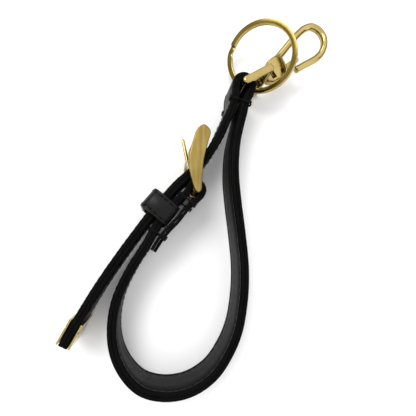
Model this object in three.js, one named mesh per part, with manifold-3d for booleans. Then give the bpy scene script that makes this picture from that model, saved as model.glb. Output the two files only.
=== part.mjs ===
// Leather wristlet key chain: a small belt strap with buckle, keeper and metal tip, a swivel
// snap hook and a split key ring. It lies on the edge of its strap. Millimetres, +Z up.
import * as THREE from "three";
import { mergeVertices } from "three/addons/utils/BufferGeometryUtils.js";
import Module from "manifold-3d";

const manifold = await Module();
manifold.setup();

// ---------- driving dimensions ----------
const GAP = 0.3;
const STRAP = { width: 18, half: 1.8, skivedHalf: 1.3, seam: 0.15, lift: 3.4 };
const LIFT_FROM_Y = -50;
const LIFT_TO_Y = 2;
const MID_Z = STRAP.lift + STRAP.width / 2;
const CROSSBAR = { x: 37, y: 70.2, radius: 1.3, tenon: 0.7 };
const HOOK_AZIMUTH = THREE.MathUtils.degToRad(32.3);
const BAIL = { length: 13.9, width: 3.3, bar: 3.1, endPlate: 2.2, endHalf: 1.75, corner: 1 };
const SWIVEL = { shank: 1.1, bore: 1.4, head: 1.9, headThick: 1.1, tail: 2.0 };
const HEEL = { x: 15.7, y: 22.6, radius: 1.3, roomRadius: 4.45, roomHalf: 1.9 };
const PRONG = { tipX: -5.1, tipY: 23.8, width: 2.4, thick: 1.5, collar: 2.6, collarHalf: 1.5 };
const FRAME_PLATE = 2.6;
const TIP = { plate: 0.7, clear: 0.25, height: 18, length: 9.6, groove: 2.8, grooveWidth: 0.6, bore: 1.1 };
const KEEPER = { x: 0.75, y: 15.4, band: 9, left: -5.8, right: 7.35, wall: 1.5, thinWall: 1 };
const RING = { outer: 16.7, inner: 14.25, turn: 1, pitch: 1.25 };
const RING_CENTRE = [47.4, 88.35, 13.6];
const RING_LEAN = THREE.MathUtils.degToRad(34.1);
const RING_LEAN_AZIMUTH = THREE.MathUtils.degToRad(202.2);
const HOOK_ROD = { halfWidth: 1.8, halfHeight: 2.0 };
const PIVOT = { x: 23.4, y: -0.9, radius: 0.8, bore: 1.05, half: 2.9 };
const GATE = { tipX: 35.8, tipY: 1.1, heel: 1.9, tip: 1.2, slotHalf: 1.5, slotFrom: -8, slotTo: 3.7 };
const BODY = { start: 14.3, windowStart: 16.7, windowEnd: 19.2, slotStart: 20.6, half: 2.6 };

// ---------- materials ----------
function leather(shade) {
  return new THREE.MeshStandardMaterial({ color: shade, roughness: 0.55, metalness: 0 });
}
function gold(shade, roughness) {
  return new THREE.MeshStandardMaterial({ color: shade, roughness, metalness: 1 });
}
const BLACK = 0x151515;
const THREAD = 0x0b0b0b;
const POLISHED = 0xd8bd78;
const BRUSHED = 0xb59a58;

// ---------- solids ----------
function toSolid(geometry) {
  const plain = geometry.clone();
  plain.deleteAttribute("normal");
  plain.deleteAttribute("uv");
  const merged = mergeVertices(plain, 1e-4);
  const triVerts = merged.index
    ? new Uint32Array(merged.index.array)
    : Uint32Array.from({ length: merged.attributes.position.count }, (_, i) => i);
  const vertProperties = new Float32Array(merged.attributes.position.array);
  return new manifold.Manifold(new manifold.Mesh({ numProp: 3, vertProperties, triVerts }));
}
function toGeometry(solid) {
  const mesh = solid.getMesh();
  const geometry = new THREE.BufferGeometry();
  const points = new Float32Array(mesh.numVert * 3);
  for (let i = 0; i < mesh.numVert; i += 1) {
    for (let axis = 0; axis < 3; axis += 1) {
      points[i * 3 + axis] = mesh.vertProperties[i * mesh.numProp + axis];
    }
  }
  geometry.setAttribute("position", new THREE.BufferAttribute(points, 3));
  geometry.setIndex(new THREE.BufferAttribute(new Uint32Array(mesh.triVerts), 1));
  geometry.computeVertexNormals();
  return geometry;
}
function cut(geometry, ...cutters) {
  return toGeometry(cutters.reduce((rest, cutter) => rest.subtract(toSolid(cutter)), toSolid(geometry)));
}
function join(geometry, ...others) {
  return toGeometry(others.reduce((sum, other) => sum.add(toSolid(other)), toSolid(geometry)));
}
function common(geometry, other) {
  return toGeometry(toSolid(geometry).intersect(toSolid(other)));
}
function block(x0, x1, y0, y1, z0, z1) {
  const box = new THREE.BoxGeometry(x1 - x0, y1 - y0, z1 - z0);
  return box.translate((x0 + x1) / 2, (y0 + y1) / 2, (z0 + z1) / 2);
}
function rodZ(radius, z0, z1, x = 0, y = 0, sides = 24) {
  const rod = new THREE.CylinderGeometry(radius, radius, z1 - z0, sides);
  return rod.rotateX(Math.PI / 2).translate(x, y, (z0 + z1) / 2);
}
function rodX(radius, x0, x1, sides = 24) {
  const rod = new THREE.CylinderGeometry(radius, radius, x1 - x0, sides);
  return rod.rotateZ(Math.PI / 2).translate((x0 + x1) / 2, 0, 0);
}
function extrudeZ(shape, z0, z1, curveSegments = 8) {
  const options = { depth: z1 - z0, bevelEnabled: false, curveSegments };
  return new THREE.ExtrudeGeometry(shape, options).translate(0, 0, z0);
}
function roundedRectangle(x0, x1, y0, y1, radius) {
  const shape = new THREE.Shape();
  shape.moveTo(x0 + radius, y0);
  shape.lineTo(x1 - radius, y0);
  shape.absarc(x1 - radius, y0 + radius, radius, -Math.PI / 2, 0);
  shape.lineTo(x1, y1 - radius);
  shape.absarc(x1 - radius, y1 - radius, radius, 0, Math.PI / 2);
  shape.lineTo(x0 + radius, y1);
  shape.absarc(x0 + radius, y1 - radius, radius, Math.PI / 2, Math.PI);
  shape.lineTo(x0, y0 + radius);
  shape.absarc(x0 + radius, y0 + radius, radius, Math.PI, Math.PI * 1.5);
  return shape;
}
function splineShape(points) {
  const shape = new THREE.Shape();
  shape.moveTo(points[0][0], points[0][1]);
  shape.splineThru(points.slice(1).map(([x, y]) => new THREE.Vector2(x, y)));
  shape.closePath();
  return shape;
}

// ---------- assembly helpers ----------
const group = new THREE.Group();
function add(parent, name, geometry, material) {
  const mesh = new THREE.Mesh(geometry, material);
  mesh.name = name;
  parent.add(mesh);
  return mesh;
}
function station(x, y, z, azimuth = 0) {
  const place = new THREE.Group();
  place.position.set(x, y, z);
  place.rotation.z = azimuth;
  group.add(place);
  return place;
}

// ---------- strap ----------
// Centre line seen from above, from the tail tip through the buckle and keeper to the hook, back
// down round the wrist loop to the buckle, round its heel bar and back on itself.
const STRAP_ROUTE = [
  [-33.2, -37.3], [-30.6, -32.4], [-27.6, -27], [-20.9, -15.5], [-13.2, -3.7], [-6.9, 5.4],
  [-2.4, 11.7], [3.9, 19.5], [8.4, 24.7], [13.6, 29.7], [21.3, 38.6], [25.6, 46], [29.3, 54.4],
  [31.6, 59.6], [32.7, 64], [33.2, 69.7], [34.4, 72.7], [36.9, 73.8], [39.4, 72.6], [40.4, 69.7],
  [39.2, 65.8], [37.2, 61.6], [36, 56.6], [34.4, 50.5], [33, 44], [32.2, 36], [32.1, 29],
  [32.8, 20], [34.7, 3.5], [35.9, -10], [35.6, -22], [33.6, -34.3], [29.9, -43.1], [23.8, -51.3],
  [15, -56.5], [5.1, -57.7], [-4.2, -55.1], [-10.6, -49], [-14.7, -40.7], [-15.9, -31],
  [-14.3, -20.5], [-9.5, -9.5], [-4.1, -0.5], [0.9, 8.7], [7.4, 17.1], [10.9, 20.2],
  [12.5, 22.4], [13.6, 24.7], [15.7, 25.6], [17.8, 24.7], [18.7, 22.5], [17.9, 20.2],
  [15.5, 18], [13, 15.9], [10.8, 13.3], [8, 9.6], [4.9, 6.3], [2.2, 3], [0, -0.4], [-1.1, -2.3],
];
const SKIVE_START = 43;
const SKIVE_END = 46;
const STEPS_PER_POINT = 3;

function strapBase(y) {
  const share = THREE.MathUtils.smoothstep(y, LIFT_FROM_Y, LIFT_TO_Y);
  return STRAP.lift * share;
}
function strapHalf(position) {
  const share = THREE.MathUtils.smoothstep(position, SKIVE_START, SKIVE_END);
  return THREE.MathUtils.lerp(STRAP.half, STRAP.skivedHalf, share);
}
function strapLayer(side) {
  const route = STRAP_ROUTE.map(([x, y]) => new THREE.Vector3(x, y, 0));
  const curve = new THREE.CatmullRomCurve3(route, false, "centripetal");
  const spans = STRAP_ROUTE.length - 1;
  const steps = spans * STEPS_PER_POINT;
  const inner = [];
  const outer = [];
  for (let step = 0; step <= steps; step += 1) {
    const t = step / steps;
    const point = curve.getPoint(t);
    const tangent = curve.getTangent(t);
    const seam = side * STRAP.seam;
    const face = side * strapHalf(t * spans);
    inner.push(new THREE.Vector2(point.x - tangent.y * seam, point.y + tangent.x * seam));
    outer.push(new THREE.Vector2(point.x - tangent.y * face, point.y + tangent.x * face));
  }
  const layer = extrudeZ(new THREE.Shape(inner.concat(outer.reverse())), 0, STRAP.width);
  const position = layer.attributes.position;
  for (let i = 0; i < position.count; i += 1) {
    position.setZ(i, position.getZ(i) + strapBase(position.getY(i)));
  }
  return layer;
}
// Holes for the prong: a slot where it passes now, round holes 9 mm apart beside it, the slot in
// the fold where the prong's collar turns on the heel bar, and the two rivet holes of the tip.
const HOLE = { radius: 1.6, slotHalf: 2.1 };
const SLOT_PLACE = { x: 13.9, y: 30, azimuth: THREE.MathUtils.degToRad(45) };
const HOLE_PLACES = [
  { x: 7.2, y: 23.4, azimuth: THREE.MathUtils.degToRad(49) },
  { x: 20.6, y: 37.8, azimuth: THREE.MathUtils.degToRad(53) },
  { x: 25.6, y: 46, azimuth: THREE.MathUtils.degToRad(63) },
];
const TIP_PLACE = { x: -30.8, y: -32.8, azimuth: THREE.MathUtils.degToRad(-117.5) };
const TIP_RIVET_Z = [4.4, 14.2];

function acrossStrap(radius, place, z) {
  const bore = new THREE.CylinderGeometry(radius, radius, 9, 20);
  bore.rotateZ(place.azimuth);
  return bore.translate(place.x, place.y, z);
}
function strapCutters() {
  const slot = [-1, -0.5, 0, 0.5, 1].map((share) => {
    const along = share * HOLE.slotHalf;
    const x = SLOT_PLACE.x + along * Math.cos(SLOT_PLACE.azimuth);
    const y = SLOT_PLACE.y + along * Math.sin(SLOT_PLACE.azimuth);
    return acrossStrap(HOLE.radius, { x, y, azimuth: SLOT_PLACE.azimuth }, MID_Z);
  });
  const round = HOLE_PLACES.map((place) => acrossStrap(HOLE.radius, place, MID_Z));
  const cutters = [...slot, ...round];
  cutters.push(rodZ(HEEL.roomRadius, MID_Z - HEEL.roomHalf, MID_Z + HEEL.roomHalf, HEEL.x, HEEL.y, 32));
  for (const z of TIP_RIVET_Z) {
    cutters.push(acrossStrap(1.1, { ...TIP_PLACE, azimuth: TIP_PLACE.azimuth + Math.PI }, z));
  }
  return cutters;
}
const holes = strapCutters();
add(group, "strap_outer_leather", cut(strapLayer(1), ...holes), leather(BLACK));
add(group, "strap_lining_leather", cut(strapLayer(-1), ...holes), leather(BLACK));

// ---------- thread tacks ----------
// Each tack is a thread bar over one edge of two strap legs, with a short leg down each face.
const TACKS = [
  { name: "hook_tack", x: 34.9, y: 62.2, azimuth: -14, left: -5.2, right: 5.2 },
  { name: "fold_tack_near_buckle", x: 12.9, y: 17.6, azimuth: -38, left: -5.7, right: 3.6 },
  { name: "fold_tack_near_end", x: 1.1, y: 4.2, azimuth: -32, left: -5.15, right: 3.8 },
];
const TACK = { bar: 0.9, thread: 0.6, length: 3.2 };
function tack(width, up) {
  const [left, right] = width;
  const rise = up ? 1 : -1;
  const low = Math.min(rise * GAP, rise * (GAP + TACK.bar));
  const bar = block(left, right, -TACK.bar / 2, TACK.bar / 2, low, low + TACK.bar);
  const legLow = up ? -TACK.length : low;
  const legHigh = up ? low + TACK.bar : TACK.length;
  const legs = [left, right - TACK.thread].map((x) =>
    block(x, x + TACK.thread, -TACK.bar / 2, TACK.bar / 2, legLow, legHigh));
  return join(bar, ...legs);
}
for (const spot of TACKS) {
  const base = strapBase(spot.y);
  const azimuth = THREE.MathUtils.degToRad(spot.azimuth);
  const width = [spot.left, spot.right];
  const top = station(spot.x, spot.y, base + STRAP.width, azimuth);
  add(top, `${spot.name}_top`, tack(width, true), leather(THREAD));
  const bottom = station(spot.x, spot.y, base, azimuth);
  add(bottom, `${spot.name}_bottom`, tack(width, false), leather(THREAD));
}

// ---------- keeper loop ----------
const KEEPER_AZIMUTH = Math.atan2(-0.628, 0.778);
const keeperPlace = station(KEEPER.x, KEEPER.y, strapBase(KEEPER.y), KEEPER_AZIMUTH);
function keeperLoop() {
  const low = -GAP - KEEPER.wall;
  const high = STRAP.width + GAP + KEEPER.wall;
  const outline = roundedRectangle(KEEPER.left, KEEPER.right, low, high, 1.4);
  const hole = roundedRectangle(KEEPER.left + KEEPER.wall, KEEPER.right - KEEPER.thinWall,
    low + KEEPER.wall, high - KEEPER.wall, 0.6);
  outline.holes.push(hole);
  const band = extrudeZ(outline, -KEEPER.band / 2, KEEPER.band / 2, 5);
  return band.rotateX(Math.PI / 2);
}
add(keeperPlace, "keeper_loop", toGeometry(toSolid(keeperLoop())), leather(BLACK));

// ---------- tip ----------
const tipPlace = station(TIP_PLACE.x, TIP_PLACE.y, strapBase(TIP_PLACE.y), TIP_PLACE.azimuth);
function tipPlate(side) {
  const near = side * (STRAP.half + TIP.clear);
  const far = near + side * TIP.plate;
  const end = TIP.length / 2;
  const plate = block(-end, end, Math.min(near, far), Math.max(near, far), 0, TIP.height);
  const grooveStart = -end + TIP.groove;
  const grooveFloor = far - side * 0.25;
  const grooveTop = far + side;
  const groove = block(grooveStart, grooveStart + TIP.grooveWidth,
    Math.min(grooveFloor, grooveTop), Math.max(grooveFloor, grooveTop), -1, TIP.height + 1);
  const bores = TIP_RIVET_Z.map((z) => {
    const bore = new THREE.CylinderGeometry(TIP.bore, TIP.bore, 3, 20);
    return bore.translate(0, (near + far) / 2, z - strapBase(TIP_PLACE.y));
  });
  return cut(plate, groove, ...bores);
}
add(tipPlace, "tip_plate_left", tipPlate(1), gold(POLISHED, 0.15));
add(tipPlace, "tip_plate_right", tipPlate(-1), gold(POLISHED, 0.15));
TIP_RIVET_Z.forEach((z, index) => {
  const half = STRAP.half + TIP.clear + TIP.plate;
  const rivet = new THREE.CylinderGeometry(0.8, 0.8, 2 * half, 20);
  rivet.translate(0, 0, z - strapBase(TIP_PLACE.y));
  add(tipPlace, `tip_rivet_${index + 1}`, rivet, gold(POLISHED, 0.2));
});

// ---------- buckle ----------
// Two crescent side plates above and below the strap's edges, joined by the front bar.
const bucklePlace = station(HEEL.x, HEEL.y, MID_Z);
const SIDE_PLATE_OUTLINE = [
  [-0.2, 24.2], [-1.8, 19.4], [-3, 15.2], [-3.4, 11.1], [-3, 7], [-2.1, 3], [-1, -0.4], [0.4, -1.8],
  [1.8, -0.6], [2.1, 3.2], [2.3, 7.2], [2.7, 11.4], [3.6, 15.6], [4.7, 19.8], [5.5, 24], [2.7, 26.6],
  [-0.2, 24.2],
];
const FRONT_BAR = { x: 2.6, y: 23.6, radius: 2.2 };
function buckleFrame() {
  const inside = STRAP.width / 2 + GAP;
  const outline = splineShape(SIDE_PLATE_OUTLINE);
  const upper = extrudeZ(outline, inside, inside + FRAME_PLATE, 3);
  const lower = extrudeZ(outline, -inside - FRAME_PLATE, -inside, 3);
  const bar = rodZ(FRONT_BAR.radius, -inside - 0.5, inside + 0.5, FRONT_BAR.x, FRONT_BAR.y, 28);
  return join(upper, lower, bar);
}
add(bucklePlace, "buckle_frame", buckleFrame(), gold(BRUSHED, 0.35));
const heelBar = rodZ(HEEL.radius, -STRAP.width / 2, STRAP.width / 2);
add(bucklePlace, "buckle_heel_bar", heelBar, gold(BRUSHED, 0.3));
function prong() {
  const length = Math.hypot(PRONG.tipX, PRONG.tipY);
  const half = PRONG.thick / 2;
  const tongue = new THREE.Shape();
  tongue.moveTo(2, -half);
  tongue.lineTo(length - half, -half * 0.9);
  tongue.absarc(length - half, 0, half * 0.9, -Math.PI / 2, Math.PI / 2);
  tongue.lineTo(2, half);
  tongue.closePath();
  const blade = extrudeZ(tongue, -PRONG.width / 2, PRONG.width / 2);
  const collar = rodZ(PRONG.collar, -PRONG.collarHalf, PRONG.collarHalf, 0, 0, 32);
  const eye = rodZ(HEEL.radius + GAP, -3, 3, 0, 0, 32);
  return cut(join(blade, collar), eye).rotateZ(Math.atan2(PRONG.tipY, PRONG.tipX));
}
add(bucklePlace, "buckle_prong", prong(), gold(POLISHED, 0.2));

// ---------- snap hook ----------
const hookPlace = station(CROSSBAR.x, CROSSBAR.y, MID_Z, HOOK_AZIMUTH);
const EYE_HALF = STRAP.width / 2 + GAP;
function bail() {
  const half = EYE_HALF + BAIL.bar;
  const profile = roundedRectangle(-BAIL.width / 2, BAIL.length, -half, half, BAIL.corner);
  const eye = new THREE.Path();
  eye.moveTo(-BAIL.width, -EYE_HALF);
  eye.lineTo(BAIL.length - BAIL.endPlate, -EYE_HALF);
  eye.lineTo(BAIL.length - BAIL.endPlate, EYE_HALF);
  eye.lineTo(-BAIL.width, EYE_HALF);
  const sideView = extrudeZ(profile, -BAIL.width, BAIL.width, 4).rotateX(Math.PI / 2);
  const eyeShape = new THREE.Shape(eye.getPoints());
  const eyeCutter = extrudeZ(eyeShape, -BAIL.width * 2, BAIL.width * 2).rotateX(Math.PI / 2);
  const width = BAIL.width / 2;
  const topView = new THREE.Shape();
  const flareStart = BAIL.length - BAIL.endPlate - 2;
  const flareEnd = BAIL.length - BAIL.endPlate;
  topView.moveTo(0, -width);
  topView.lineTo(flareStart, -width);
  topView.lineTo(flareEnd, -BAIL.endHalf);
  topView.lineTo(BAIL.length + 1, -BAIL.endHalf);
  topView.lineTo(BAIL.length + 1, BAIL.endHalf);
  topView.lineTo(flareEnd, BAIL.endHalf);
  topView.lineTo(flareStart, width);
  topView.lineTo(0, width);
  topView.absarc(0, 0, width, Math.PI / 2, Math.PI * 1.5);
  const slab = common(sideView, extrudeZ(topView, -half - 1, half + 1, 8));
  const pinHole = rodZ(CROSSBAR.tenon + GAP, -half - 1, half + 1);
  return cut(slab, eyeCutter, pinHole, rodX(SWIVEL.bore, BAIL.length - 4, BAIL.length + 2));
}
add(hookPlace, "bail", bail(), gold(POLISHED, 0.18));
const TENON_HALF = EYE_HALF + BAIL.bar - 0.2;
const crossbar = join(rodZ(CROSSBAR.radius, -STRAP.width / 2, STRAP.width / 2),
  rodZ(CROSSBAR.tenon, -TENON_HALF, TENON_HALF));
add(hookPlace, "bail_crossbar", crossbar, gold(POLISHED, 0.18));

function swivelRivet() {
  const headEnd = BAIL.length - BAIL.endPlate - GAP;
  const shank = rodX(SWIVEL.shank, headEnd - 0.5, BODY.windowStart + 1);
  const head = rodX(SWIVEL.head, headEnd - SWIVEL.headThick, headEnd);
  const tail = rodX(SWIVEL.tail, BODY.windowStart + GAP, BODY.windowStart + GAP + 1.2);
  return join(shank, head, tail);
}
add(hookPlace, "swivel_rivet", swivelRivet(), gold(POLISHED, 0.18));

// The hook bows out on one side of its swivel axis and its nose returns to the gate's tip.
const HOOK_ROUTE = [
  [19.5, 4.4], [24, 5.5], [30.2, 7.5], [36.3, 9.8], [42, 11.7], [47.5, 12.8], [51.6, 12],
  [54, 8.9], [54.2, 4.6], [52.2, 1], [48.6, -1.7], [44.6, -2.9], [39.6, -3.1], [36.4, -3],
  [33.2, -3.1], [30.9, -3.2],
];
const BODY_OUTLINE = [
  [14.3, -1.9], [17, -3.7], [20.5, -4.1], [24.5, -3.6], [26.6, -1.6], [27.2, 2.2], [27.5, 5.4],
  [24, 7.2], [19.5, 6.6], [16.4, 4.2], [14.3, 2.1],
];
function hookBody() {
  const curve = new THREE.CatmullRomCurve3(HOOK_ROUTE.map(([x, y]) => new THREE.Vector3(x, y, 0)));
  const section = new THREE.Shape();
  section.absellipse(0, 0, HOOK_ROD.halfHeight, HOOK_ROD.halfWidth, 0, Math.PI * 2);
  const options = { steps: 44, curveSegments: 7, extrudePath: curve, bevelEnabled: false };
  const rod = new THREE.ExtrudeGeometry(section, options);
  const body = new THREE.Shape(BODY_OUTLINE.map(([x, y]) => new THREE.Vector2(x, y)));
  const casting = join(extrudeZ(body, -BODY.half, BODY.half), rod);
  const window = block(BODY.windowStart, BODY.windowEnd, -2.6, 2.6, -5, 5);
  const slotEnd = 30;
  const gateSlot = block(BODY.slotStart, slotEnd, GATE.slotFrom, GATE.slotTo,
    -GATE.slotHalf, GATE.slotHalf);
  const pinBore = rodZ(PIVOT.bore, -5, 5, PIVOT.x, PIVOT.y, 20);
  return cut(casting, rodX(SWIVEL.bore, BODY.start - 1, BODY.windowEnd - 1), window, gateSlot, pinBore);
}
add(hookPlace, "snap_hook_body", hookBody(), gold(POLISHED, 0.16));

// The lever turns on its pin inside the slot; its tip lies under the nose, inside the hook.
function gateLever() {
  const outline = new THREE.Shape();
  const reach = 10.4;
  outline.absarc(0, 0, GATE.heel, Math.PI * 0.5, Math.PI * 1.5);
  outline.lineTo(reach, -GATE.tip);
  outline.absarc(reach, 0, GATE.tip, -Math.PI / 2, Math.PI / 2);
  outline.closePath();
  const half = GATE.slotHalf - 0.25;
  const lever = extrudeZ(outline, -half, half);
  const turned = cut(lever, rodZ(PIVOT.bore, -5, 5, 0, 0, 20));
  turned.rotateZ(Math.atan2(GATE.tipY - PIVOT.y, GATE.tipX - PIVOT.x));
  return turned.translate(PIVOT.x, PIVOT.y, 0);
}
add(hookPlace, "gate_lever", gateLever(), gold(POLISHED, 0.16));
const gatePin = rodZ(PIVOT.radius, -PIVOT.half, PIVOT.half, PIVOT.x, PIVOT.y, 20);
add(hookPlace, "gate_pin", gatePin, gold(POLISHED, 0.2));
function gateSpring() {
  const route = [[20.95, 0.2], [20.95, -2], [21.2, -2.8]].map(([x, y]) => new THREE.Vector3(x, y, 0));
  const leaf = new THREE.Shape();
  leaf.moveTo(-0.9, -0.1);
  leaf.lineTo(0.9, -0.1);
  leaf.lineTo(0.9, 0.1);
  leaf.lineTo(-0.9, 0.1);
  leaf.closePath();
  const curve = new THREE.CatmullRomCurve3(route);
  return new THREE.ExtrudeGeometry(leaf, { steps: 8, extrudePath: curve, bevelEnabled: false });
}
add(hookPlace, "gate_spring", gateSpring(), gold(0x9a9a9a, 0.3));

// ---------- split key ring ----------
// One flat strip wound twice; it climbs from the lower turn to the upper one over a short ramp.
const ringPlace = new THREE.Group();
ringPlace.position.set(...RING_CENTRE);
ringPlace.rotation.set(0, RING_LEAN, RING_LEAN_AZIMUTH, "ZYX");
group.add(ringPlace);
const RING_RAMP = { start: 341, end: 359, total: 700 };
const RING_START = 330;
class RingRoute extends THREE.Curve {
  getPoint(t, target = new THREE.Vector3()) {
    const turned = t * RING_RAMP.total;
    const climb = THREE.MathUtils.smoothstep(turned, RING_RAMP.start, RING_RAMP.end);
    const angle = THREE.MathUtils.degToRad(RING_START + turned);
    const radius = (RING.outer + RING.inner) / 2;
    const height = (climb - 0.5) * RING.pitch;
    return target.set(radius * Math.cos(angle), radius * Math.sin(angle), height);
  }
}
function splitRing() {
  const route = new RingRoute();
  const halfBand = (RING.outer - RING.inner) / 2;
  const halfTurn = RING.turn / 2;
  const steps = 128;
  const rows = [];
  for (let step = 0; step <= steps; step += 1) {
    const centre = route.getPoint(step / steps);
    const outward = new THREE.Vector3(centre.x, centre.y, 0).normalize();
    const corners = [[-1, -1], [1, -1], [1, 1], [-1, 1]].map(([across, up]) =>
      centre.clone().addScaledVector(outward, across * halfBand).setZ(centre.z + up * halfTurn));
    rows.push(corners);
  }
  const positions = rows.flat().flatMap((corner) => corner.toArray());
  const faces = [[0, 1, 2], [0, 2, 3]];
  for (let step = 0; step < steps; step += 1) {
    for (let side = 0; side < 4; side += 1) {
      const a = step * 4 + side;
      const b = step * 4 + ((side + 1) % 4);
      faces.push([a, a + 4, b], [b, a + 4, b + 4]);
    }
  }
  const last = steps * 4;
  faces.push([last, last + 2, last + 1], [last, last + 3, last + 2]);
  const geometry = new THREE.BufferGeometry();
  geometry.setAttribute("position", new THREE.Float32BufferAttribute(positions, 3));
  geometry.setIndex(faces.flat());
  geometry.computeVertexNormals();
  return geometry;
}
add(ringPlace, "split_ring", splitRing(), gold(POLISHED, 0.14));

// ---------- origin: middle of the whole object's box, on the surface it lies on ----------
group.updateMatrixWorld(true);
const extent = new THREE.Box3().setFromObject(group, true);
const middle = extent.getCenter(new THREE.Vector3());
group.position.set(-middle.x, -middle.y, -extent.min.z);
group.updateMatrixWorld(true);

export default group;
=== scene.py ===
import math

import bmesh
import bpy
from mathutils import Matrix, Vector


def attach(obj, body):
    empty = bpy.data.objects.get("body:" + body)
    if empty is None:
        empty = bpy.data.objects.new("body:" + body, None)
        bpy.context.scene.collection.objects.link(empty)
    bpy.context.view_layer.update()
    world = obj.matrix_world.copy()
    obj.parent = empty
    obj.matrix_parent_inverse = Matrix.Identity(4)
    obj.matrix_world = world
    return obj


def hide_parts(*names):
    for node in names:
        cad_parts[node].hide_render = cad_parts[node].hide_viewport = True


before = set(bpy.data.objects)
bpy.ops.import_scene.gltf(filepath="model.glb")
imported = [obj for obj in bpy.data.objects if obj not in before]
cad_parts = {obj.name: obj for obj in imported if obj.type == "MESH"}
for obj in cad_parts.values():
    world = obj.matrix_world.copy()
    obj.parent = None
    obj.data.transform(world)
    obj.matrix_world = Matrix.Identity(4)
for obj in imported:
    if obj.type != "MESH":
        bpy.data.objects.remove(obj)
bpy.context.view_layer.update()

# ---------- drawing frame ----------
MM = 0.001
DRAWING_ORIGIN = (23.4933, 25.0367)
CAMERA_HEIGHT = 143.26
CAMERA_RIGHT = Vector((0.98614, 0.0, 0.16589))
CAMERA_UP = Vector((-0.01986, 0.99281, 0.11804))
CAMERA_BACK = Vector((-0.16470, -0.11970, 0.97906))
CAMERA_ANGLE = math.radians(68.24)

STRAP_WIDTH = 18.0
STRAP_HALF = 1.8
SKIVED_HALF = 1.3
LIFT = 3.4
MID_Z = LIFT + STRAP_WIDTH / 2
SKIVE = (43, 46)
PAINTED_EDGE = 0.6
CROSSBAR = (37.0, 70.2)
HOOK_AZIMUTH = math.radians(32.3)
HEEL = (15.7, 22.6)

STRAP_ROUTE = [
    (-33.2, -37.3), (-30.6, -32.4), (-27.6, -27), (-20.9, -15.5), (-13.2, -3.7), (-6.9, 5.4),
    (-2.4, 11.7), (3.9, 19.5), (8.4, 24.7), (13.6, 29.7), (21.3, 38.6), (25.6, 46), (29.3, 54.4),
    (31.6, 59.6), (32.7, 64), (33.2, 69.7), (34.4, 72.7), (36.9, 73.8), (39.4, 72.6), (40.4, 69.7),
    (39.2, 65.8), (37.2, 61.6), (36, 56.6), (34.4, 50.5), (33, 44), (32.2, 36), (32.1, 29),
    (32.8, 20), (34.7, 3.5), (35.9, -10), (35.6, -22), (33.6, -34.3), (29.9, -43.1), (23.8, -51.3),
    (15, -56.5), (5.1, -57.7), (-4.2, -55.1), (-10.6, -49), (-14.7, -40.7), (-15.9, -31),
    (-14.3, -20.5), (-9.5, -9.5), (-4.1, -0.5), (0.9, 8.7), (7.4, 17.1), (10.9, 20.2),
    (12.5, 22.4), (13.6, 24.7), (15.7, 25.6), (17.8, 24.7), (18.7, 22.5), (17.9, 20.2),
    (15.5, 18), (13, 15.9), (10.8, 13.3), (8, 9.6), (4.9, 6.3), (2.2, 3), (0, -0.4), (-1.1, -2.3),
]


def smoothstep(value, low, high):
    share = min(max((value - low) / (high - low), 0.0), 1.0)
    return share * share * (3 - 2 * share)


def strap_base(y):
    return LIFT * smoothstep(y, -50, 2)


def place(x, y, z):
    """A drawing point as a row-frame vector in metres."""
    return Vector(((x - DRAWING_ORIGIN[0]) * MM, (y - DRAWING_ORIGIN[1]) * MM, z * MM))


def turned(azimuth):
    """Unit vectors along and across a direction in plan."""
    along = Vector((math.cos(azimuth), math.sin(azimuth), 0))
    return along, Vector((-along.y, along.x, 0))


# ---------- curves ----------
def centripetal(points, per_span):
    """Points of a centripetal Catmull-Rom curve, with its span position at each."""
    data = [Vector(p) for p in points]
    data = [data[0] * 2 - data[1]] + data + [data[-1] * 2 - data[-2]]
    out = []
    for span in range(len(points) - 1):
        p0, p1, p2, p3 = data[span:span + 4]
        knots = [0.0]
        for a, b in ((p0, p1), (p1, p2), (p2, p3)):
            knots.append(knots[-1] + math.sqrt((b - a).length))
        t0, t1, t2, t3 = knots
        last = span == len(points) - 2
        for step in range(per_span + (1 if last else 0)):
            t = t1 + (t2 - t1) * step / per_span
            a1 = p0 * ((t1 - t) / (t1 - t0)) + p1 * ((t - t0) / (t1 - t0))
            a2 = p1 * ((t2 - t) / (t2 - t1)) + p2 * ((t - t1) / (t2 - t1))
            a3 = p2 * ((t3 - t) / (t3 - t2)) + p3 * ((t - t2) / (t3 - t2))
            b1 = a1 * ((t2 - t) / (t2 - t0)) + a2 * ((t - t0) / (t2 - t0))
            b2 = a2 * ((t3 - t) / (t3 - t1)) + a3 * ((t - t1) / (t3 - t1))
            point = b1 * ((t2 - t) / (t2 - t1)) + b2 * ((t - t1) / (t2 - t1))
            out.append((point, span + step / per_span))
    return out


def tangents(points, closed=False):
    count = len(points)
    result = []
    for i in range(count):
        before = points[(i - 1) % count] if closed or i > 0 else points[i]
        after = points[(i + 1) % count] if closed or i < count - 1 else points[i]
        result.append((after - before).normalized())
    return result


def rounded_section(x0, x1, y0, y1, radius, steps=4):
    """A rounded rectangle as (x, y) points, counter-clockwise."""
    corners = [(x1 - radius, y0 + radius, -90), (x1 - radius, y1 - radius, 0),
               (x0 + radius, y1 - radius, 90), (x0 + radius, y0 + radius, 180)]
    points = []
    for cx, cy, start in corners:
        for step in range(steps + 1):
            angle = math.radians(start + 90 * step / steps)
            points.append((cx + radius * math.cos(angle), cy + radius * math.sin(angle)))
    return points


def ellipse_section(half_x, half_y, count=28):
    turns = [2 * math.pi * i / count for i in range(count)]
    return [(half_x * math.cos(a), half_y * math.sin(a)) for a in turns]


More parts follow.
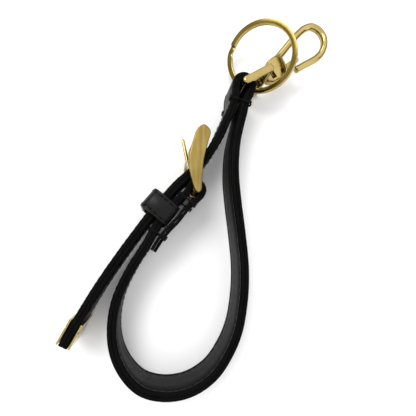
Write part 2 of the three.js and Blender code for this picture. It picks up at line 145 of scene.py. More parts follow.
# ---------- meshes ----------
def new_object(name, vertices, faces, material):
    mesh = bpy.data.meshes.new(name)
    mesh.from_pydata([tuple(v) for v in vertices], [], faces)
    mesh.validate()
    bm = bmesh.new()
    bm.from_mesh(mesh)
    bmesh.ops.recalc_face_normals(bm, faces=bm.faces)
    bm.to_mesh(mesh)
    bm.free()
    mesh.shade_smooth()
    obj = bpy.data.objects.new(name, mesh)
    bpy.context.collection.objects.link(obj)
    mesh.materials.append(material)
    return obj


def sweep_data(rings, closed=False):
    """Faces between rings of equal length, with end caps on an open sweep."""
    size = len(rings[0])
    vertices = [v for ring in rings for v in ring]
    faces = []
    spans = len(rings) if closed else len(rings) - 1
    for i in range(spans):
        a = i * size
        b = ((i + 1) % len(rings)) * size
        for k in range(size):
            n = (k + 1) % size
            faces.append((a + k, a + n, b + n, b + k))
    if not closed:
        faces.append(tuple(range(size)))
        faces.append(tuple(len(vertices) - size + k for k in range(size)))
    return vertices, faces


def merge_data(parts):
    vertices = []
    faces = []
    for some_vertices, some_faces in parts:
        start = len(vertices)
        vertices += some_vertices
        faces += [tuple(i + start for i in face) for face in some_faces]
    return vertices, faces


def sharp_by_angle(obj, degrees):
    bpy.context.view_layer.objects.active = obj
    obj.select_set(True)
    bpy.ops.object.shade_smooth_by_angle(angle=math.radians(degrees))
    obj.select_set(False)


def bevel(obj, width, segments=3, limit=35):
    modifier = obj.modifiers.new("bevel", "BEVEL")
    modifier.width = width * MM
    modifier.segments = segments
    modifier.limit_method = "ANGLE"
    modifier.angle_limit = math.radians(limit)
    modifier.harden_normals = False
    return modifier


def plate_data(outline, z0, z1, origin, azimuth=0.0):
    """A flat plate from a plan outline in mm about a drawing point."""
    along, across = turned(azimuth)
    base = place(origin[0], origin[1], 0)
    low = [base + along * (x * MM) + across * (y * MM) + Vector((0, 0, z0 * MM)) for x, y in outline]
    high = [v + Vector((0, 0, (z1 - z0) * MM)) for v in low]
    return sweep_data([low, high])


def tube_data(points, radius, sides=10):
    """A round thread along points, with rounded ends."""
    directions = tangents(points)
    rings = []
    up = Vector((0, 0, 1))
    for index, (point, direction) in enumerate(zip(points, directions)):
        side = direction.cross(up)
        side = side.normalized() if side.length > 0.1 else Vector((1, 0, 0))
        other = side.cross(direction).normalized()
        ends = min(index, len(points) - 1 - index)
        scale = (0.45, 0.85)[ends] if ends < 2 else 1.0
        rings.append([point + (side * math.cos(a) + other * math.sin(a)) * (radius * scale)
                      for a in (2 * math.pi * k / sides for k in range(sides))])
    return sweep_data(rings)


def finish_cast(obj, voxel, smooth_rounds):
    """Melts joined solids into one cast piece with soft inner corners."""
    remesh = obj.modifiers.new("cast", "REMESH")
    remesh.mode = "VOXEL"
    remesh.voxel_size = voxel * MM
    remesh.use_smooth_shade = True
    smooth = obj.modifiers.new("polish", "SMOOTH")
    smooth.factor = 0.5
    smooth.iterations = smooth_rounds
    apply_modifiers(obj)


def apply_modifiers(obj):
    graph = bpy.context.evaluated_depsgraph_get()
    mesh = bpy.data.meshes.new_from_object(obj.evaluated_get(graph))
    obj.modifiers.clear()
    old = obj.data
    obj.data = mesh
    bpy.data.meshes.remove(old)
    mesh.shade_smooth()


def subtract(obj, vertices, faces):
    cutter = new_object("cutter", vertices, faces, obj.data.materials[0])
    modifier = obj.modifiers.new("cut", "BOOLEAN")
    modifier.operation = "DIFFERENCE"
    modifier.solver = "EXACT"
    modifier.object = cutter
    apply_modifiers(obj)
    bpy.data.objects.remove(cutter)


# ---------- materials ----------
class Nodes:
    """A small wrapper that adds and links shader nodes."""

    def __init__(self, name):
        self.material = bpy.data.materials.new(name)
        self.material.use_nodes = True
        self.tree = self.material.node_tree
        self.shader = self.tree.nodes["Principled BSDF"]

    def add(self, kind, values=None, **settings):
        node = self.tree.nodes.new(kind)
        for key, value in settings.items():
            setattr(node, key, value)
        for key, value in (values or {}).items():
            if isinstance(value, bpy.types.NodeSocket):
                self.tree.links.new(value, node.inputs[key])
            else:
                node.inputs[key].default_value = value
        return node

    def set(self, **values):
        for key, value in values.items():
            self.shader.inputs[key.replace("_", " ")].default_value = value

    def link(self, output, key):
        self.tree.links.new(output, self.shader.inputs[key])

    def ramp(self, factor, stops):
        node = self.add("ShaderNodeValToRGB", {"Fac": factor})
        elements = node.color_ramp.elements
        while len(elements) < len(stops):
            elements.new(0.5)
        for element, (position, colour) in zip(elements, stops):
            element.position = position
            element.color = (*colour, 1)
        return node.outputs["Color"]

    def spread(self, factor, low, high):
        node = self.add("ShaderNodeMapRange", {"Value": factor, "To Min": low, "To Max": high})
        return node.outputs["Result"]

    def noise(self, scale, detail=3.0, vector=None, roughness=0.5):
        values = {"Scale": scale, "Detail": detail, "Roughness": roughness}
        if vector is not None:
            values["Vector"] = vector
        return self.add("ShaderNodeTexNoise", values).outputs["Fac"]

    def bump(self, height, strength, distance, normal=None):
        values = {"Height": height, "Strength": strength, "Distance": distance}
        if normal is not None:
            values["Normal"] = normal
        return self.add("ShaderNodeBump", values).outputs["Normal"]


def leather_material(name, dark, light, gloss, specular=0.07):
    """Black leather: pebbled grain, slight colour drift and a waxed sheen."""
    n = Nodes(name)
    coordinates = n.add("ShaderNodeTexCoord").outputs["Object"]
    patches = n.noise(90, 4, coordinates)
    cells = n.add("ShaderNodeTexVoronoi", {"Scale": 1500, "Vector": coordinates},
                  feature="DISTANCE_TO_EDGE")
    wrinkles = n.noise(420, 5, coordinates, 0.6)
    n.link(n.ramp(patches, [(0.3, dark), (0.75, light)]), "Base Color")
    n.link(n.spread(wrinkles, gloss - 0.08, gloss + 0.1), "Roughness")
    grain = n.bump(cells.outputs["Distance"], 0.35, 0.00006)
    n.link(n.bump(wrinkles, 0.3, 0.00012, grain), "Normal")
    n.set(Specular_IOR_Level=specular)
    return n.material


def edge_material():
    """Painted leather edge: a slightly patchy black with a faint grain and hardly any shine."""
    n = Nodes("edge_paint")
    coordinates = n.add("ShaderNodeTexCoord").outputs["Object"]
    patches = n.noise(160, 4, coordinates)
    fine = n.noise(1400, 3, coordinates)
    tones = [(0.3, (0.0015, 0.0015, 0.0015)), (0.8, (0.003, 0.003, 0.0028))]
    n.link(n.ramp(patches, tones), "Base Color")
    n.link(n.spread(patches, 0.4, 0.55), "Roughness")
    n.link(n.bump(fine, 0.18, 0.00006), "Normal")
    n.set(Specular_IOR_Level=0.03)
    return n.material


def thread_material():
    """Waxed black thread with a twisted lay."""
    n = Nodes("waxed_thread")
    coordinates = n.add("ShaderNodeTexCoord").outputs["Object"]
    wave = n.add("ShaderNodeTexWave", {"Scale": 900, "Distortion": 1.5, "Vector": coordinates},
                 bands_direction="DIAGONAL")
    tones = [(0.0, (0.001, 0.001, 0.001)), (1.0, (0.005, 0.005, 0.005))]
    n.link(n.ramp(wave.outputs["Fac"], tones), "Base Color")
    n.link(n.spread(wave.outputs["Fac"], 0.4, 0.6), "Roughness")
    n.link(n.bump(wave.outputs["Fac"], 0.6, 0.0001), "Normal")
    n.set(Specular_IOR_Level=0.08)
    return n.material


def gold_material(name, dark, light, low, high, scratch, stretch, streak=0.0):
    """Pale gold plating: cloudy tone, fine polishing lines and handling marks."""
    n = Nodes(name)
    coordinates = n.add("ShaderNodeTexCoord").outputs["Object"]
    lined = n.add("ShaderNodeMapping", {"Vector": coordinates, "Scale": stretch}).outputs["Vector"]
    lines = n.noise(2600, 2, lined)
    clouds = n.noise(110, 3, coordinates)
    brushed = n.noise(1000, 2, lined)
    tone = n.add("ShaderNodeMix", {"Factor": streak, "A": clouds, "B": brushed}).outputs["Result"]
    n.link(n.ramp(tone, [(0.25, dark), (0.8, light)]), "Base Color")
    rough = n.add("ShaderNodeMath", {0: n.spread(clouds, low, high), 1: n.spread(lines, -0.03, 0.05)},
                  operation="ADD")
    n.link(rough.outputs["Value"], "Roughness")
    n.link(n.bump(lines, scratch, 0.00002), "Normal")
    n.set(Metallic=1.0)
    return n.material


def steel_material():
    """Bright spring steel with drawn lines."""
    n = Nodes("spring_steel")
    coordinates = n.add("ShaderNodeTexCoord").outputs["Object"]
    lines = n.noise(1800, 2, coordinates)
    n.link(n.ramp(lines, [(0.2, (0.5, 0.5, 0.52)), (0.8, (0.7, 0.7, 0.72))]), "Base Color")
    n.link(n.spread(lines, 0.2, 0.35), "Roughness")
    n.set(Metallic=1.0)
    return n.material


BLACK = (0.002, 0.002, 0.002)
LEATHER = leather_material("black_leather", BLACK, (0.005, 0.005, 0.0045), 0.4)
LINING = leather_material("lining_leather", BLACK, (0.0045, 0.0045, 0.004), 0.46)
KEEPER_LEATHER = leather_material("keeper_leather", BLACK, (0.006, 0.006, 0.0055), 0.36, 0.15)
EDGE = edge_material()
THREAD = thread_material()
# Polished gold; on the key ring's rims and walls it also serves as a painted highlight.
POLISHED_GOLD_AND_RIM_HIGHLIGHT = gold_material("polished_gold", (0.38, 0.285, 0.095), (0.50, 0.39, 0.155),
                         0.08, 0.16, 0.05, (1, 1, 1))
SATIN = gold_material("satin_gold", (0.09, 0.063, 0.012), (0.15, 0.106, 0.025),
                      0.12, 0.2, 0.1, (1, 1, 0.2))
BRUSHED = gold_material("brushed_gold", (0.16, 0.11, 0.028), (0.36, 0.265, 0.085),
                        0.28, 0.4, 0.5, (1, 0.05, 1), 0.7)
STEEL = steel_material()


# ---------- strap ----------
GROOVE = {"inset": 1.9, "half": 0.35, "floor_half": 0.12, "depth": 0.14}
STITCH = {"first": 4.0, "pitch": 2.9, "length": 2.1, "radius": 0.2}


def strap_stations():
    route = centripetal([(x, y, 0) for x, y in STRAP_ROUTE], 12)
    points = [p for p, _ in route]
    spans = [s for _, s in route]
    return points, tangents(points), spans


def strap_half(span):
    return STRAP_HALF + (SKIVED_HALF - STRAP_HALF) * smoothstep(span, *SKIVE)


def groove_points(far, row):
    """The stitch groove round a height, from its upper lip to its lower one."""
    deep = far - GROOVE["depth"]
    return [(far, row + GROOVE["half"]), (deep, row + GROOVE["floor_half"]),
            (deep, row - GROOVE["floor_half"]), (far, row - GROOVE["half"])]


def layer_section(near, far):
    """One layer's section: rounded painted edges and a shallow stitch groove on its wide face."""
    top = STRAP_WIDTH / 2
    edge = 0.75
    points = [(near, -top + 0.1), (near, top - 0.1), (near + 0.08, top)]
    for step in range(7):
        angle = math.radians(90 * (1 - step / 6))
        points.append((far - edge + edge * math.cos(angle), top - edge + edge * math.sin(angle)))
    row = top - GROOVE["inset"]
    points += groove_points(far, row)
    points += [(far, 2.5), (far, -2.5)]
    points += groove_points(far, -row)
    for step in range(7):
        angle = math.radians(-90 * step / 6)
        points.append((far - edge + edge * math.cos(angle), -top + edge + edge * math.sin(angle)))
    points.append((near + 0.08, -top))
    return points


def strap_layer(name, side, material):
    points, directions, spans = strap_stations()
    rings = []
    for point, direction, span in zip(points, directions, spans):
        left = Vector((-direction.y, direction.x, 0)) * side
        half = strap_half(span)
        centre_z = strap_base(point.y) + STRAP_WIDTH / 2
        rings.append([place(point.x + left.x * u, point.y + left.y * u, centre_z + w)
                      for u, w in layer_section(0.05, half)])
    vertices, faces = sweep_data(rings)
    obj = new_object(name, vertices, faces, material)
    obj.data.materials.append(EDGE)
    for polygon in obj.data.polygons:
        middle_z = strap_base(polygon.center.y / MM + DRAWING_ORIGIN[1]) + STRAP_WIDTH / 2
        if abs(polygon.center.z / MM - middle_z) > STRAP_WIDTH / 2 - PAINTED_EDGE:
            polygon.material_index = 1
    return obj


def bore_data(x, y, z, azimuth, radius, half_length, half_slot=0.0):
    """A round or slotted cutter across the strap, its slot along the strap."""
    along, across = turned(azimuth)
    outline = []
    for k in range(28):
        angle = 2 * math.pi * k / 28
        shift = half_slot if math.cos(angle) > 0 else -half_slot
        outline.append((radius * math.cos(angle) + shift, radius * math.sin(angle)))
    centre = place(x, y, z)
    rings = [[centre + across * (end * half_length * MM) + along * (u * MM) + Vector((0, 0, w * MM))
              for u, w in outline] for end in (-1, 1)]
    return sweep_data(rings)


# Each hole: x, y, azimuth of the strap there, and half the slot's straight length.
HOLES = [
    (13.9, 30.0, 45, 2.1), (7.2, 23.4, 49, 0.0), (20.6, 37.8, 53, 0.0), (25.6, 46.0, 63, 0.0),
]
HOLE_RADIUS = 1.6
HEEL_ROOM = {"radius": 4.45, "half": 1.9}


def cut_strap(obj):
    """The holes, and the room in the fold where the prong's collar turns, cut one by one."""
    parts = [bore_data(x, y, MID_Z, math.radians(azimuth), HOLE_RADIUS, 4.0, slot)
             for x, y, azimuth, slot in HOLES]
    room = ellipse_section(HEEL_ROOM["radius"], HEEL_ROOM["radius"], 36)
    parts.append(plate_data(room, MID_Z - HEEL_ROOM["half"], MID_Z + HEEL_ROOM["half"], HEEL))
    for part in parts:
        subtract(obj, *part)


def stitch_data(point, direction, length, radius):
    """One stitch: a short thread that dips into its holes at both ends."""
    out = Vector((-direction.y, direction.x, 0)).normalized()
    steps = [(-0.5, -1.0), (-0.44, -0.1), (-0.3, 0.45), (0.0, 0.6),
             (0.3, 0.45), (0.44, -0.1), (0.5, -1.0)]
    rings = []
    for share, rise in steps:
        centre = point + direction * (share * length) + out * (rise * radius)
        rings.append([centre + (out * math.cos(a) + Vector((0, 0, 1)) * math.sin(a)) * radius
                      for a in (math.pi * k / 4 for k in range(8))])
    return sweep_data(rings)


def stitch_rows(side):
    """Both stitch rows on one wide face, ending where the leather gets thinner for the fold."""
    points, directions, spans = strap_stations()
    parts = []
    travelled = 0.0
    due = STITCH["first"]
    for index in range(1, len(points)):
        travelled += (points[index] - points[index - 1]).length
        if travelled < due or spans[index] > SKIVE[0] - 1:
            continue
        due += STITCH["pitch"]
        point, direction, span = points[index], directions[index], spans[index]
        half = strap_half(span) - GROOVE["depth"]
        left = Vector((-direction.y, direction.x, 0)) * side
        for share in (-1, 1):
            z = strap_base(point.y) + STRAP_WIDTH / 2 + share * (STRAP_WIDTH / 2 - GROOVE["inset"])
            spot = place(point.x + left.x * half, point.y + left.y * half, z)
            parts.append(stitch_data(spot, direction * side, STITCH["length"] * MM, STITCH["radius"] * MM))
    return merge_data(parts)


def build_strap():
    outer = strap_layer("strap_outer", 1, LEATHER)
    lining = strap_layer("strap_lining", -1, LINING)
    for layer in (outer, lining):
        cut_strap(layer)
        sharp_by_angle(layer, 42)
    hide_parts("strap_outer_leather")
    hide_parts("strap_lining_leather")
    outer_stitches = new_object("strap_outer_stitches", *stitch_rows(1), THREAD)
    lining_stitches = new_object("strap_lining_stitches", *stitch_rows(-1), THREAD)
    for obj in (outer, lining):
        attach(obj, "strap")
    for obj in (outer_stitches, lining_stitches):
        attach(obj, "strap")


# ---------- keeper ----------
KEEPER = {"x": 0.75, "y": 15.4, "band": 9.0, "left": -5.8, "right": 7.35, "wall": 1.4, "thin": 0.95,
          "crown": 1.3, "crown_shift": 0.8, "gap": 0.3, "corner": 2.3, "row": 1.15}
KEEPER_STITCH = {"first": 1.0, "pitch": 2.7, "length": 2.0, "radius": 0.22}
KEEPER_AZIMUTH = math.atan2(-0.628, 0.778)


def keeper_frame():
    across, along = turned(KEEPER_AZIMUTH)
    base = place(KEEPER["x"], KEEPER["y"], strap_base(KEEPER["y"]))
    return base, across, along


def keeper_path():
    """The band's outer line in its own plane: (across, up), with round corners and a crown."""
    low = -KEEPER["gap"] - KEEPER["wall"]
    high = STRAP_WIDTH + KEEPER["gap"] + KEEPER["wall"]
    outline = rounded_section(KEEPER["left"], KEEPER["right"], low, high, KEEPER["corner"], 8)
    path = []
    for index, (u, w) in enumerate(outline):
        next_u, next_w = outline[(index + 1) % len(outline)]
        pieces = max(1, int(math.hypot(next_u - u, next_w - w) / 0.6))
        path += [(u + (next_u - u) * k / pieces, w + (next_w - w) * k / pieces) for k in range(pieces)]
    middle = (KEEPER["left"] + KEEPER["right"]) / 2
    half = (KEEPER["right"] - KEEPER["left"]) / 2
    bulged = []
    for u, w in path:
        across_share = (u - middle + KEEPER["crown_shift"]) / half
        top_share = smoothstep(w, STRAP_WIDTH - 1, STRAP_WIDTH + 1.5)
        bulged.append((u, w + KEEPER["crown"] * max(1 - across_share ** 2, 0) * top_share))
    return bulged


def keeper_section(wall):
    """The band's cross-section as (depth from its outer face, shift along the strap)."""
    half = KEEPER["band"] / 2
    row = half - KEEPER["row"]
    points = rounded_section(0, wall, -half, half, 0.42, 4)
    groove = []
    for centre in (row, -row):
        groove += [(0.0, centre + 0.4), (0.16, centre + 0.15), (0.16, centre - 0.15), (0.0, centre - 0.4)]
    # Three corners in, the outline turns down the outer face, where the grooves are.
    outer_face = len(points) * 3 // 4
    return points[:outer_face] + groove + points[outer_face:]


def keeper_band():
    base, across, along = keeper_frame()
    dense = [Vector((u, w, 0)) for u, w in keeper_path()]
    middle = Vector(((KEEPER["left"] + KEEPER["right"]) / 2, STRAP_WIDTH / 2, 0))
    rings = []
    for point, direction in zip(dense, tangents(dense, closed=True)):
        inward = Vector((-direction.y, direction.x, 0))
        if inward.dot(middle - point) < 0:
            inward = -inward
        wall = KEEPER["thin"] if point.x > KEEPER["right"] - 0.3 else KEEPER["wall"]
        ring = []
        for depth, shift in keeper_section(wall):
            spot = point + inward * depth
            ring.append(base + across * (spot.x * MM) + Vector((0, 0, spot.y * MM))
                        + along * (shift * MM))
        rings.append(ring)
    obj = new_object("keeper", *sweep_data(rings, closed=True), KEEPER_LEATHER)
    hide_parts("keeper_loop")
    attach(obj, "strap")
    return dense


def keeper_stitches(dense):
    base, across, along = keeper_frame()
    parts = []
    travelled = 0.0
    due = KEEPER_STITCH["first"]
    radius = KEEPER_STITCH["radius"] * MM
    for index, (point, direction) in enumerate(zip(dense, tangents(dense, closed=True))):
        travelled += (point - dense[index - 1]).length if index else 0.0
        if travelled < due:
            continue
        due += KEEPER_STITCH["pitch"]
        if point.x > KEEPER["right"] - 0.3:
            continue
        heading = across * direction.x + Vector((0, 0, direction.y))
        outward = heading.cross(along).normalized()
        if outward.dot(across * (point.x - 0.7) + Vector((0, 0, point.y - 9.0))) < 0:
            outward = -outward
        for share in (-1, 1):
            centre = base + across * (point.x * MM) + Vector((0, 0, point.y * MM))
            centre += along * (share * (KEEPER["band"] / 2 - KEEPER["row"]) * MM)
            centre -= outward * (0.08 * MM)
            rows = [(-0.5, -0.9), (-0.3, 0.3), (0.0, 0.5), (0.3, 0.3), (0.5, -0.9)]
            rings = []
            for step, rise in rows:
                middle = centre + heading * (step * KEEPER_STITCH["length"] * MM) + outward * (rise * radius)
                rings.append([middle + (outward * math.cos(a) + along * math.sin(a)) * radius
                              for a in (math.pi * k / 4 for k in range(8))])
            parts.append(sweep_data(rings))
    obj = new_object("keeper_stitches", *merge_data(parts), THREAD)
    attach(obj, "strap")


# ---------- thread tacks ----------
TACKS = [
    ("hook_tack", 34.9, 62.2, -14, -4.85, 4.85),
    ("fold_tack_near_buckle", 12.9, 17.6, -38, -5.35, 3.2),
    ("fold_tack_near_end", 1.1, 4.2, -32, -4.85, 3.45),
]


TACK_THREAD = {"radius": 0.22, "rest": 0.2, "drop": 3.3, "tuck": 0.9}
# Each turn of thread: where it starts and ends along the strap, and how high it lies.
TACK_TURNS = [(-1.1, 1.1, 0.12), (1.1, -1.1, 0.34), (-0.35, 0.5, 0.24), (0.6, -0.3, 0.18)]


def tack(name, x, y, azimuth, left, right, upper):
    """Crossed turns of thread over one edge, going into the leather low on each face."""
    across, along = turned(math.radians(azimuth))
    rise = 1 if upper else -1
    origin = place(x, y, strap_base(y) + (STRAP_WIDTH if upper else 0))
    parts = []
    tuck = TACK_THREAD["tuck"]
    for start, end, lift in TACK_TURNS:
        points = []
        for k in range(25):
            share = k / 24
            u = left + (right - left) * smoothstep(share, 0.12, 0.88)
            u += tuck * (1 - smoothstep(share, 0.0, 0.05)) - tuck * smoothstep(share, 0.95, 1.0)
            drop = smoothstep(abs(share - 0.5), 0.30, 0.5)
            w = lift + TACK_THREAD["rest"] - TACK_THREAD["drop"] * drop
            v = (start + (end - start) * share) * (1 - 0.6 * drop)
            points.append(origin + across * (u * MM) + along * (v * MM) + Vector((0, 0, rise * w * MM)))
        parts.append(tube_data(points, TACK_THREAD["radius"] * MM, 9))
    label = f"{name}_{'top' if upper else 'bottom'}"
    obj = new_object(f"{label}_thread", *merge_data(parts), THREAD)
    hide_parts(label)
    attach(obj, "strap")


# ---------- buckle ----------
SIDE_PLATE = [
    (-0.2, 24.2), (-1.8, 19.4), (-3, 15.2), (-3.4, 11.1), (-3, 7), (-2.1, 3), (-1, -0.4), (0.4, -1.8),
    (1.8, -0.6), (2.1, 3.2), (2.3, 7.2), (2.7, 11.4), (3.6, 15.6), (4.7, 19.8), (5.5, 24), (2.7, 26.6),
]
FRONT_BAR = (2.6, 23.6, 2.15)


def closed_spline(points, per_span=8):
    data = [Vector((x, y, 0)) for x, y in points]
    count = len(data)
    out = []
    for i in range(count):
        p0, p1, p2, p3 = (data[(i + k) % count] for k in (-1, 0, 1, 2))
        for step in range(per_span):
            t = step / per_span
            out.append(0.5 * (2 * p1 + (p2 - p0) * t + (2 * p0 - 5 * p1 + 4 * p2 - p3) * t * t
                              + (3 * p1 - p0 - 3 * p2 + p3) * t ** 3))
    return [(p.x, p.y) for p in out]


def build_buckle():
    inside = STRAP_WIDTH / 2 + 0.3
    outline = closed_spline(SIDE_PLATE)
    plates = [plate_data(outline, MID_Z + inside, MID_Z + inside + 2.55, HEEL),
              plate_data(outline, MID_Z - inside - 2.55, MID_Z - inside, HEEL)]
    frame_plates = new_object("buckle_side_plates", *merge_data(plates), BRUSHED)
    bevel(frame_plates, 0.45, 3)
    sharp_by_angle(frame_plates, 30)
    x, y, radius = FRONT_BAR
    bar = [(x + u, y + v) for u, v in ellipse_section(radius, radius, 48)]
    half = inside + 0.2
    front = new_object("buckle_front_bar", *plate_data(bar, MID_Z - half, MID_Z + half, HEEL), BRUSHED)
    sharp_by_angle(front, 40)
    for obj in (frame_plates, front):
        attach(obj, "buckle")
    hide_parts("buckle_frame")


def build_prong():
    """A drawn tongue that thins towards a rounded tip, with its collar round the heel bar."""
    tip = Vector((-5.1, 23.8, 0))
    azimuth = math.atan2(tip.y, tip.x)
    along, across = turned(azimuth)
    base = place(HEEL[0], HEEL[1], MID_Z)
    rings = []
    for k in range(41):
        share = k / 40
        reach = 2.0 + (tip.length - 2.0) * share
        taper = 1 - 0.16 * share
        if share > 0.95:
            taper *= math.sqrt(max(1 - ((share - 0.95) / 0.05) ** 2, 0.02))
        section = rounded_section(-0.75 * taper, 0.75 * taper, -1.2 * taper, 1.2 * taper, 0.5 * taper, 3)
        rings.append([base + along * (reach * MM) + across * (u * MM) + Vector((0, 0, w * MM))
                      for u, w in section])
    parts = [sweep_data(rings)]
    ring_path = []
    for k in range(40):
        angle = 2 * math.pi * k / 40
        heading, _ = turned(angle)
        ring_path.append([base + heading * ((2.15 + u) * MM) + Vector((0, 0, w * MM))
                          for u, w in rounded_section(-0.45, 0.45, -1.45, 1.45, 0.3, 3)])
    parts.append(sweep_data(ring_path, closed=True))
    obj = new_object("prong", *merge_data(parts), POLISHED_GOLD_AND_RIM_HIGHLIGHT)
    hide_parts("buckle_prong")
    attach(obj, "prong")


# ---------- bail and snap hook ----------
BAIL = {"length": 13.9, "half_width": 1.65, "bar": 3.1, "end_plate": 2.2, "end_half": 1.75}


def hook_point(s, lateral, z):
    along, across = turned(HOOK_AZIMUTH)
    return place(*CROSSBAR, 0) + along * (s * MM) + across * (lateral * MM) + Vector((0, 0, z * MM))


def build_bail():
    eye = STRAP_WIDTH / 2 + 0.3
    half = BAIL["half_width"]
    round_end = [math.pi / 2 + math.pi * k / 16 for k in range(17)]
    outline = [(half * math.cos(a), half * math.sin(a)) for a in round_end]
    outline += [(BAIL["length"] - 2.4, -half), (BAIL["length"], -BAIL["end_half"]),
                (BAIL["length"], BAIL["end_half"]), (BAIL["length"] - 2.4, half)]
    arms = []
    for low in (MID_Z + eye, MID_Z - eye - BAIL["bar"]):
        arm = plate_data(outline, low, low + BAIL["bar"], CROSSBAR, HOOK_AZIMUTH)
        arms.append(new_object("arm", *arm, POLISHED_GOLD_AND_RIM_HIGHLIGHT))
    start = BAIL["length"] - BAIL["end_plate"]
    end = BAIL["end_half"]
    block = [(start, -end), (BAIL["length"], -end), (BAIL["length"], end), (start, end)]
    end_wall = plate_data(block, MID_Z - eye - 2, MID_Z + eye + 2, CROSSBAR, HOOK_AZIMUTH)
    wall = new_object("wall", *end_wall, POLISHED_GOLD_AND_RIM_HIGHLIGHT)
    for part in (*arms, wall):
        bevel(part, 0.75, 4)
        apply_modifiers(part)
    bail = join([*arms, wall], "bail_casting")
    finish_cast(bail, 0.16, 3)
    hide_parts("bail")
    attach(bail, "swivel_bail")


def join(parts, name):
    """Several mesh objects as one object."""
    meshes = []
    for part in parts:
        data = part.data
        meshes.append(([v.co.copy() for v in data.vertices], [tuple(p.vertices) for p in data.polygons]))
    material = parts[0].data.materials[0]
    for part in parts:
        bpy.data.objects.remove(part)
    return new_object(name, *merge_data(meshes), material)


HOOK_ROUTE = [
    (19.5, 4.4), (24, 5.5), (30.2, 7.5), (36.3, 9.8), (42, 11.7), (47.5, 12.8), (51.6, 12),
    (54, 8.9), (54.2, 4.6), (52.2, 1), (48.6, -1.7), (44.6, -2.9), (39.6, -3.1), (36.4, -3),
    (33.2, -3.1), (30.9, -3.2),
]
BODY_OUTLINE = [
    (14.3, -1.9), (17, -3.7), (20.5, -4.1), (24.5, -3.6), (26.6, -1.6), (27.2, 2.2), (27.5, 5.4),
    (24, 7.2), (19.5, 6.6), (16.4, 4.2), (14.3, 2.1),
]

HOOK_CUTS = {
    "body_half": 2.55, "through": 5, "slot_half": 1.5, "pivot": (23.4, -0.9), "pin_bore": 1.0,
    "swivel_bore": 1.4, "swivel_span": (13.3, 18.2),
}


def hook_rod():
    route = [p for p, _ in centripetal([(s, t, 0) for s, t in HOOK_ROUTE], 12)]
    rings = []
    total = len(route) - 1
    for index, (point, direction) in enumerate(zip(route, tangents(route))):
        left = Vector((-direction.y, direction.x, 0))
        share = index / total
        swell = 1.0 - 0.1 * smoothstep(share, 0.6, 1.0)
        if share > 0.985:
            swell *= math.sqrt(max(1 - ((share - 0.985) / 0.0152) ** 2, 0.05))
        rings.append([hook_point(point.x + left.x * u, point.y + left.y * u, MID_Z + w)
                      for u, w in ellipse_section(1.8 * swell, 1.95 * swell)])
    return new_object("rod", *sweep_data(rings), POLISHED_GOLD_AND_RIM_HIGHLIGHT)


def hook_block(outline, half):
    """A block through the hook's middle height, from a plan outline along the hook's axis."""
    return plate_data(outline, MID_Z - half, MID_Z + half, CROSSBAR, HOOK_AZIMUTH)


def build_hook():
    body = new_object("body", *hook_block(BODY_OUTLINE, HOOK_CUTS["body_half"]), POLISHED_GOLD_AND_RIM_HIGHLIGHT)
    bevel(body, 0.9, 4, 20)
    apply_modifiers(body)
    hook = join([hook_rod(), body], "hook_casting")
    finish_cast(hook, 0.17, 3)
    window = [(16.7, -2.4), (19.2, -2.4), (19.2, 2.4), (16.7, 2.4)]
    slot = [(20.6, -8), (30, -8), (30, 3.7), (20.6, 3.7)]
    pivot_x, pivot_y = HOOK_CUTS["pivot"]
    pin_radius = HOOK_CUTS["pin_bore"]
    pin = [(pivot_x + u, pivot_y + v) for u, v in ellipse_section(pin_radius, pin_radius, 24)]
    through = HOOK_CUTS["through"]
    bore = ellipse_section(HOOK_CUTS["swivel_bore"], HOOK_CUTS["swivel_bore"])
    swivel = [[hook_point(s, t, MID_Z + w) for t, w in bore] for s in HOOK_CUTS["swivel_span"]]
    cutters = [hook_block(window, through), hook_block(slot, HOOK_CUTS["slot_half"]),
               hook_block(pin, through), sweep_data(swivel)]
    for cutter in cutters:
        subtract(hook, *cutter)
    sharp_by_angle(hook, 35)
    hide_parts("snap_hook_body")
    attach(hook, "hook")


# ---------- split ring ----------
RING = {"centre": (47.4, 88.35, 13.6), "lean": 34.1, "azimuth": 202.2, "outer": 16.7, "inner": 14.25,
        "turn": 1.0, "pitch": 1.25, "start": 330, "ramp": (341, 359), "total": 700}


def build_ring():
    lean = (Matrix.Rotation(math.radians(RING["azimuth"]), 3, "Z")
            @ Matrix.Rotation(math.radians(RING["lean"]), 3, "Y"))
    middle = (RING["outer"] + RING["inner"]) / 2
    half = (RING["outer"] - RING["inner"]) / 2
    section = rounded_section(-half, half, -RING["turn"] / 2, RING["turn"] / 2, 0.3, 4)
    rings = []
    steps = 560
    for step in range(steps + 1):
        angle_turned = RING["total"] * step / steps
        climb = smoothstep(angle_turned, *RING["ramp"]) - 0.5
        heading, _ = turned(math.radians(RING["start"] + angle_turned))
        rings.append([place(*RING["centre"]) + lean @ (heading * ((middle + u) * MM)
                      + Vector((0, 0, (climb * RING["pitch"] + w) * MM))) for u, w in section])
    obj = new_object("key_ring", *sweep_data(rings), SATIN)
    obj.data.materials.append(POLISHED_GOLD_AND_RIM_HIGHLIGHT)
    # Faces on the ring's rims and walls take the brighter polished gold as a painted highlight; the flat
    # faces keep the darker satin gold.
    highlight_rim = 0.25
    flat_from = middle - half + highlight_rim
    flat_to = middle + half - highlight_rim
    axis = lean @ Vector((0, 0, 1))
    for polygon in obj.data.polygons:
        offset = polygon.center - place(*RING["centre"])
        reach = (offset - axis * offset.dot(axis)).length / MM
        if not flat_from < reach < flat_to:
            polygon.material_index = 1
    sharp_by_angle(obj, 50)
    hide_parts("split_ring")
    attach(obj, "ring")


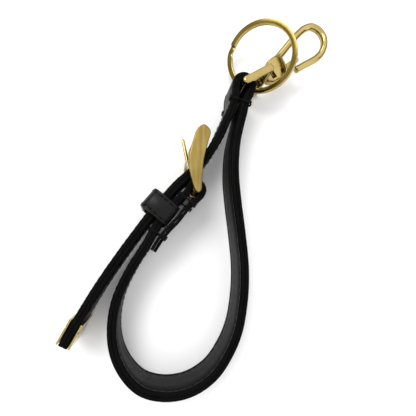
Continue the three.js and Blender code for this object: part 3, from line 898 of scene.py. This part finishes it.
# ---------- pieces kept from the CAD frame ----------
def dress_cad():
    finishes = {
        "buckle_heel_bar": BRUSHED, "bail_crossbar": POLISHED_GOLD_AND_RIM_HIGHLIGHT, "swivel_rivet": SATIN,
        "gate_lever": POLISHED_GOLD_AND_RIM_HIGHLIGHT, "gate_pin": SATIN, "gate_spring": STEEL,
        "tip_plate_left": POLISHED_GOLD_AND_RIM_HIGHLIGHT, "tip_plate_right": POLISHED_GOLD_AND_RIM_HIGHLIGHT,
        "tip_rivet_1": SATIN, "tip_rivet_2": SATIN,
    }
    for name, material in finishes.items():
        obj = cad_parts[name]
        obj.data.materials.clear()
        obj.data.materials.append(material)
        sharp_by_angle(obj, 32)
    for name in ("tip_plate_left", "tip_plate_right"):
        bevel(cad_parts[name], 0.12, 2, 40)


# ---------- camera, floor and light ----------
def build_camera():
    data = bpy.data.cameras.new("camera")
    data.sensor_width = 36.0
    data.angle = CAMERA_ANGLE
    data.clip_start = 0.005
    data.clip_end = 5.0
    camera = bpy.data.objects.new("camera", data)
    bpy.context.collection.objects.link(camera)
    axes = Matrix((CAMERA_RIGHT, CAMERA_UP, CAMERA_BACK)).transposed().to_4x4()
    camera.matrix_world = Matrix.Translation(place(0, 0, CAMERA_HEIGHT)) @ axes
    bpy.context.scene.camera = camera


def floor_material():
    n = Nodes("table_top")
    coordinates = n.add("ShaderNodeTexCoord").outputs["Object"]
    clouds = n.noise(14, 3, coordinates)
    n.link(n.ramp(clouds, [(0.2, (0.86, 0.86, 0.86)), (0.8, (0.89, 0.89, 0.89))]), "Base Color")
    n.link(n.spread(clouds, 0.6, 0.7), "Roughness")
    n.set(Specular_IOR_Level=0.2)
    return n.material


def build_floor():
    half = 1.5
    level = -0.00005
    signs = ((-1, -1), (1, -1), (1, 1), (-1, 1))
    corners = [Vector((x * half, y * half, level)) for x, y in signs]
    floor = new_object("table", corners, [(0, 1, 2, 3)], floor_material())


LAMP_TARGET = Vector((0, 0, 0.01))


def area_light(name, location, size, power):
    """A soft round lamp turned towards the object."""
    data = bpy.data.lights.new(name, "AREA")
    data.shape = "DISK"
    data.size = size
    data.energy = power
    light = bpy.data.objects.new(name, data)
    light.location = location
    light.rotation_euler = (LAMP_TARGET - Vector(location)).to_track_quat("-Z", "Y").to_euler()
    bpy.context.collection.objects.link(light)


def build_world():
    """A white studio tent: bright overhead, dark towards the horizon."""
    world = bpy.data.worlds.new("studio")
    world.use_nodes = True
    bpy.context.scene.world = world
    tree = world.node_tree
    background = tree.nodes["Background"]
    coordinates = tree.nodes.new("ShaderNodeTexCoord")
    split = tree.nodes.new("ShaderNodeSeparateXYZ")
    ramp = tree.nodes.new("ShaderNodeValToRGB")
    stops = [(0.0, 0.12), (0.35, 0.3), (0.55, 1.45), (0.85, 1.45), (0.95, 1.15)]
    while len(ramp.color_ramp.elements) < len(stops):
        ramp.color_ramp.elements.new(0.5)
    for element, (position, level) in zip(ramp.color_ramp.elements, stops):
        element.position = position
        element.color = (level, level, level, 1)
    tree.links.new(coordinates.outputs["Generated"], split.inputs[0])
    tree.links.new(split.outputs["Z"], ramp.inputs["Fac"])
    tree.links.new(ramp.outputs["Color"], background.inputs["Color"])
    background.inputs["Strength"].default_value = 1.0


build_strap()
keeper_stitches(keeper_band())
for spec in TACKS:
    tack(*spec, True)
    tack(*spec, False)
build_buckle()
build_prong()
build_bail()
build_hook()
build_ring()
dress_cad()
build_camera()
build_floor()
area_light("key", (-0.42, 0.5, 1.0), 0.6, 8.0)
area_light("back", (-0.15, 1.0, 0.55), 0.35, 1.0)
area_light("side", (0.95, -0.25, 0.3), 0.4, 0.6)
bpy.context.scene.view_settings.view_transform = "Standard"
build_world()
